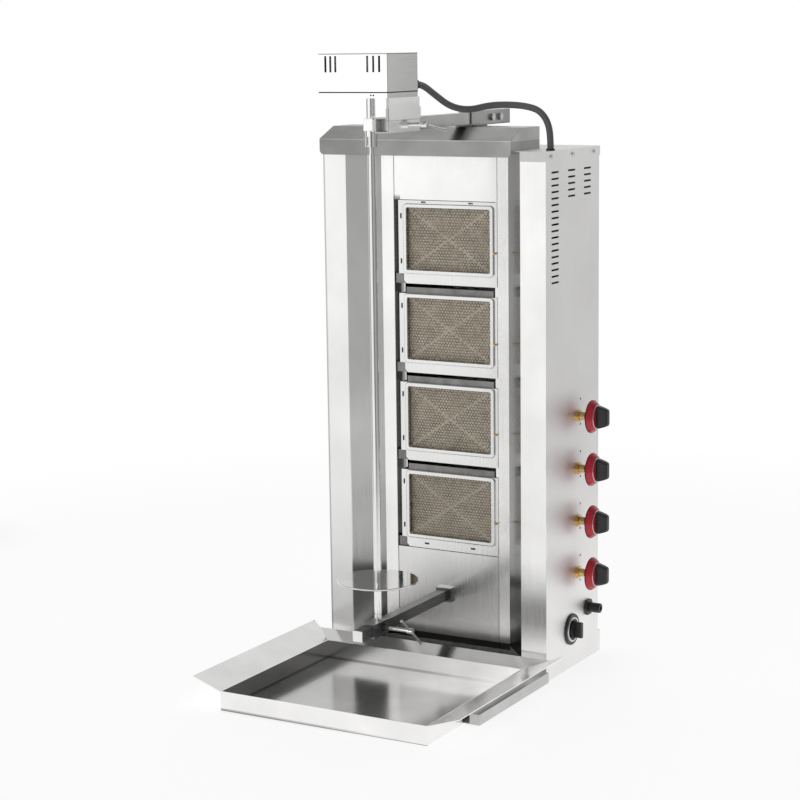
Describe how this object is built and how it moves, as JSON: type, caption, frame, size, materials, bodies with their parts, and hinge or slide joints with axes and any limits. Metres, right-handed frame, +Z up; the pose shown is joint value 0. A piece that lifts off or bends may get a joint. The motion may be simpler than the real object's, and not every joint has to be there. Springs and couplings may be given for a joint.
{
  "type": "gas doner kebab grill",
  "caption": "Upright gas grill for doner meat with stacked burners, a motor head that turns a vertical skewer, side gas taps and a pull-out drip tray.",
  "frame": {"origin": "on the ground, below the middle of the cabinet's width and depth", "axes": "+Z up; the cook stands on the -Y side, where the tray pulls out; the gas taps are on the +X side"},
  "size_m": [0.5202, 0.616, 1.063],
  "materials": {
    "stainless": "fine brushed stainless sheet",
    "bright_stainless": "polished stainless sheet",
    "burner_metal": "heat-stained pressed steel",
    "screen_wire": "heat-stained wire net",
    "ceramic": "porous fired clay",
    "brass": "machined",
    "aluminium_pipe": "drawn tube",
    "pipe_steel": "zinc plated",
    "bar_steel": "ground square bar",
    "bolt_steel": "plated",
    "red_plastic": "glossy red with a black grip",
    "black_plastic": "fine satin",
    "cable_sleeve": "grey flexible sleeve",
    "motor_paint": "plain"
  },
  "bodies": {
    "cabinet": {"base_pan": "stainless", "support_rail_left": "stainless", "support_rail_right": "stainless", "left_column": "stainless", "right_column": "stainless", "left_side_panel": "stainless", "right_side_panel": "stainless", "back_panel": "stainless", "control_box_wall": "stainless", "control_box_lid": "stainless", "hood": "bright_stainless", "bay_frame": "stainless", "upper_front_panel": "stainless", "lower_front_panel": "stainless", "burner_frame_1": "stainless", "burner_frame_2": "stainless", "burner_frame_3": "stainless", "burner_frame_4": "stainless", "burner_screen_1": "screen_wire", "burner_screen_2": "screen_wire", "burner_screen_3": "screen_wire", "burner_screen_4": "screen_wire", "burner_bodies": "burner_metal", "burner_ceramics": "ceramic", "flame_sensors": "brass", "gas_manifold": "pipe_steel", "gas_taps": "brass", "gas_pipes": "aluminium_pipe", "rotary_switch": "black_plastic", "cable_glands": "black_plastic", "top_bar": "bar_steel", "rail_holder": "bar_steel", "lower_bar": "bar_steel", "screws_and_bolts": "bolt_steel"},
    "tray": {"drip_tray": "bright_stainless"},
    "head": {"head_sleeve": "bar_steel", "motor_pan": "bright_stainless", "motor_cover": "bright_stainless", "head_gland": "black_plastic", "gear_motor": "motor_paint", "motor_cable": "cable_sleeve"},
    "block": {"bearing_block": "bar_steel"},
    "output": {"output_shaft": "bar_steel", "skewer_coupling": "bar_steel"},
    "pinion": {"motor_pinion": "bar_steel"},
    "skewer": {"skewer_rod": "bright_stainless"},
    "disc": {"meat_disc": "bright_stainless"},
    "upper_screw": {"upper_clamp_screw": "bar_steel"},
    "upper_bar": {"upper_cross_bar": "bolt_steel"},
    "lower_screw": {"lower_clamp_screw": "bar_steel"},
    "lower_bar_handle": {"lower_cross_bar": "bolt_steel"},
    "switch": {"switch_knob": "black_plastic"},
    "tap_1": {"valve_stem_1": "brass"},
    "knob_1": {"gas_knob_1": "red_plastic"},
    "tap_2": {"valve_stem_2": "brass"},
    "knob_2": {"gas_knob_2": "red_plastic"},
    "tap_3": {"valve_stem_3": "brass"},
    "knob_3": {"gas_knob_3": "red_plastic"},
    "tap_4": {"valve_stem_4": "brass"},
    "knob_4": {"gas_knob_4": "red_plastic"}
  },
  "joints": [
    {"name": "tray_pull", "type": "slide", "parent": "cabinet", "child": "tray", "axis": [0, -1, 0], "range_m": [0, 0.3]},
    {"name": "head_slide", "type": "slide", "parent": "cabinet", "child": "head", "axis": [0, 1, 0], "range_m": [-0.02, 0.08], "deforming": ["motor_cable"]},
    {"name": "block_slide", "type": "slide", "parent": "cabinet", "child": "block", "axis": [0, 1, 0], "range_m": [-0.02, 0.08]},
    {"name": "output_spin", "type": "hinge", "parent": "head", "child": "output", "pos_m": [-0.0086, -0.29, 0.96], "axis": [0, 0, 1], "continuous": true},
    {"name": "pinion_spin", "type": "hinge", "parent": "head", "child": "pinion", "pos_m": [0.0194, -0.29, 1.005], "axis": [0, 0, 1], "continuous": true},
    {"name": "skewer_lift", "type": "slide", "parent": "output", "child": "skewer", "axis": [0, 0, 1], "range_m": [0, 0.012]},
    {"name": "disc_lift", "type": "slide", "parent": "skewer", "child": "disc", "axis": [0, 0, 1], "range_m": [0, 0.5]},
    {"name": "upper_screw_turn", "type": "hinge", "parent": "head", "child": "upper_screw", "pos_m": [0.06, -0.281, 0.9506], "axis": [1, 0, 0], "range_deg": [-180, 180]},
    {"name": "upper_bar_slide", "type": "slide", "parent": "upper_screw", "child": "upper_bar", "axis": [0, 0.986, -0.1668], "range_m": [-0.064, 0.004]},
    {"name": "lower_screw_turn", "type": "hinge", "parent": "block", "child": "lower_screw", "pos_m": [0.03, -0.291, 0.117], "axis": [1, 0, 0], "range_deg": [-180, 180]},
    {"name": "lower_bar_slide", "type": "slide", "parent": "lower_screw", "child": "lower_bar_handle", "axis": [0, 0.766, -0.6428], "range_m": [-0.038, 0.028]},
    {"name": "tap_push_1", "type": "slide", "parent": "cabinet", "child": "tap_1", "axis": [-1, 0, 0], "range_m": [0, 0.003], "stiffness_N_per_m": 1500, "springref_m": -0.002},
    {"name": "knob_turn_1", "type": "hinge", "parent": "tap_1", "child": "knob_1", "pos_m": [0.2395, 0.021, 0.442], "axis": [1, 0, 0], "range_deg": [0, 180]},
    {"name": "tap_push_2", "type": "slide", "parent": "cabinet", "child": "tap_2", "axis": [-1, 0, 0], "range_m": [0, 0.003], "stiffness_N_per_m": 1500, "springref_m": -0.002},
    {"name": "knob_turn_2", "type": "hinge", "parent": "tap_2", "child": "knob_2", "pos_m": [0.2395, 0.021, 0.3496], "axis": [1, 0, 0], "range_deg": [0, 180]},
    {"name": "tap_push_3", "type": "slide", "parent": "cabinet", "child": "tap_3", "axis": [-1, 0, 0], "range_m": [0, 0.003], "stiffness_N_per_m": 1500, "springref_m": -0.002},
    {"name": "knob_turn_3", "type": "hinge", "parent": "tap_3", "child": "knob_3", "pos_m": [0.2395, 0.021, 0.2572], "axis": [1, 0, 0], "range_deg": [0, 180]},
    {"name": "tap_push_4", "type": "slide", "parent": "cabinet", "child": "tap_4", "axis": [-1, 0, 0], "range_m": [0, 0.003], "stiffness_N_per_m": 1500, "springref_m": -0.002},
    {"name": "knob_turn_4", "type": "hinge", "parent": "tap_4", "child": "knob_4", "pos_m": [0.2395, 0.021, 0.1648], "axis": [1, 0, 0], "range_deg": [0, 180]},
    {"name": "switch_turn", "type": "hinge", "parent": "cabinet", "child": "switch", "pos_m": [0.218, -0.0064, 0.0688], "axis": [1, 0, 0], "range_deg": [-60, 60]}
  ],
  "couplings": [
    {"joint": "block_slide", "follows": "head_slide", "ratio": 1},
    {"joint": "pinion_spin", "follows": "output_spin", "ratio": -3.6667}
  ]
}
